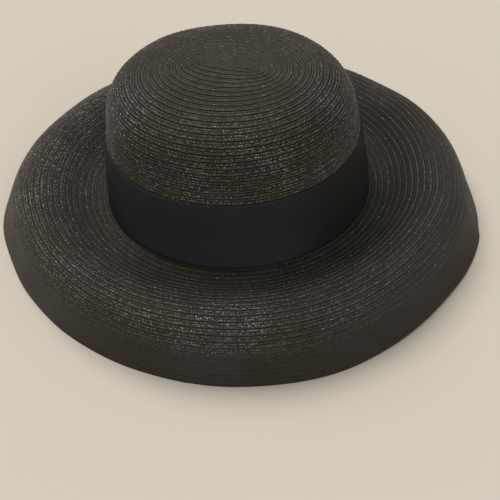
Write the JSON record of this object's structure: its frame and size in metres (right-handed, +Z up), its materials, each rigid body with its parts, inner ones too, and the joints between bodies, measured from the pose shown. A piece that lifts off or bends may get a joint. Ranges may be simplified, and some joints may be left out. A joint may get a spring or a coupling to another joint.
{
  "type": "straw hat",
  "caption": "Wide-brimmed hat of sewn straw braid: low rounded oval crown, turned-down bell brim and a plain wide ribbon round the crown.",
  "frame": {"origin": "on the surface the hat stands on, under the middle of its outline", "axes": "+Z up through the tip of the crown, X along the long axis of the head oval, Y across it, the picture's side towards -Y"},
  "size_m": [0.3676, 0.3194, 0.1343],
  "materials": {
    "straw": "sewn straw braid, semi-gloss with small bright threads",
    "ribbon": "smooth satin ribbon, soft sheen"
  },
  "bodies": {
    "root": {"crown": "straw", "brim": "straw", "ribbon": "ribbon"}
  },
  "joints": []
}
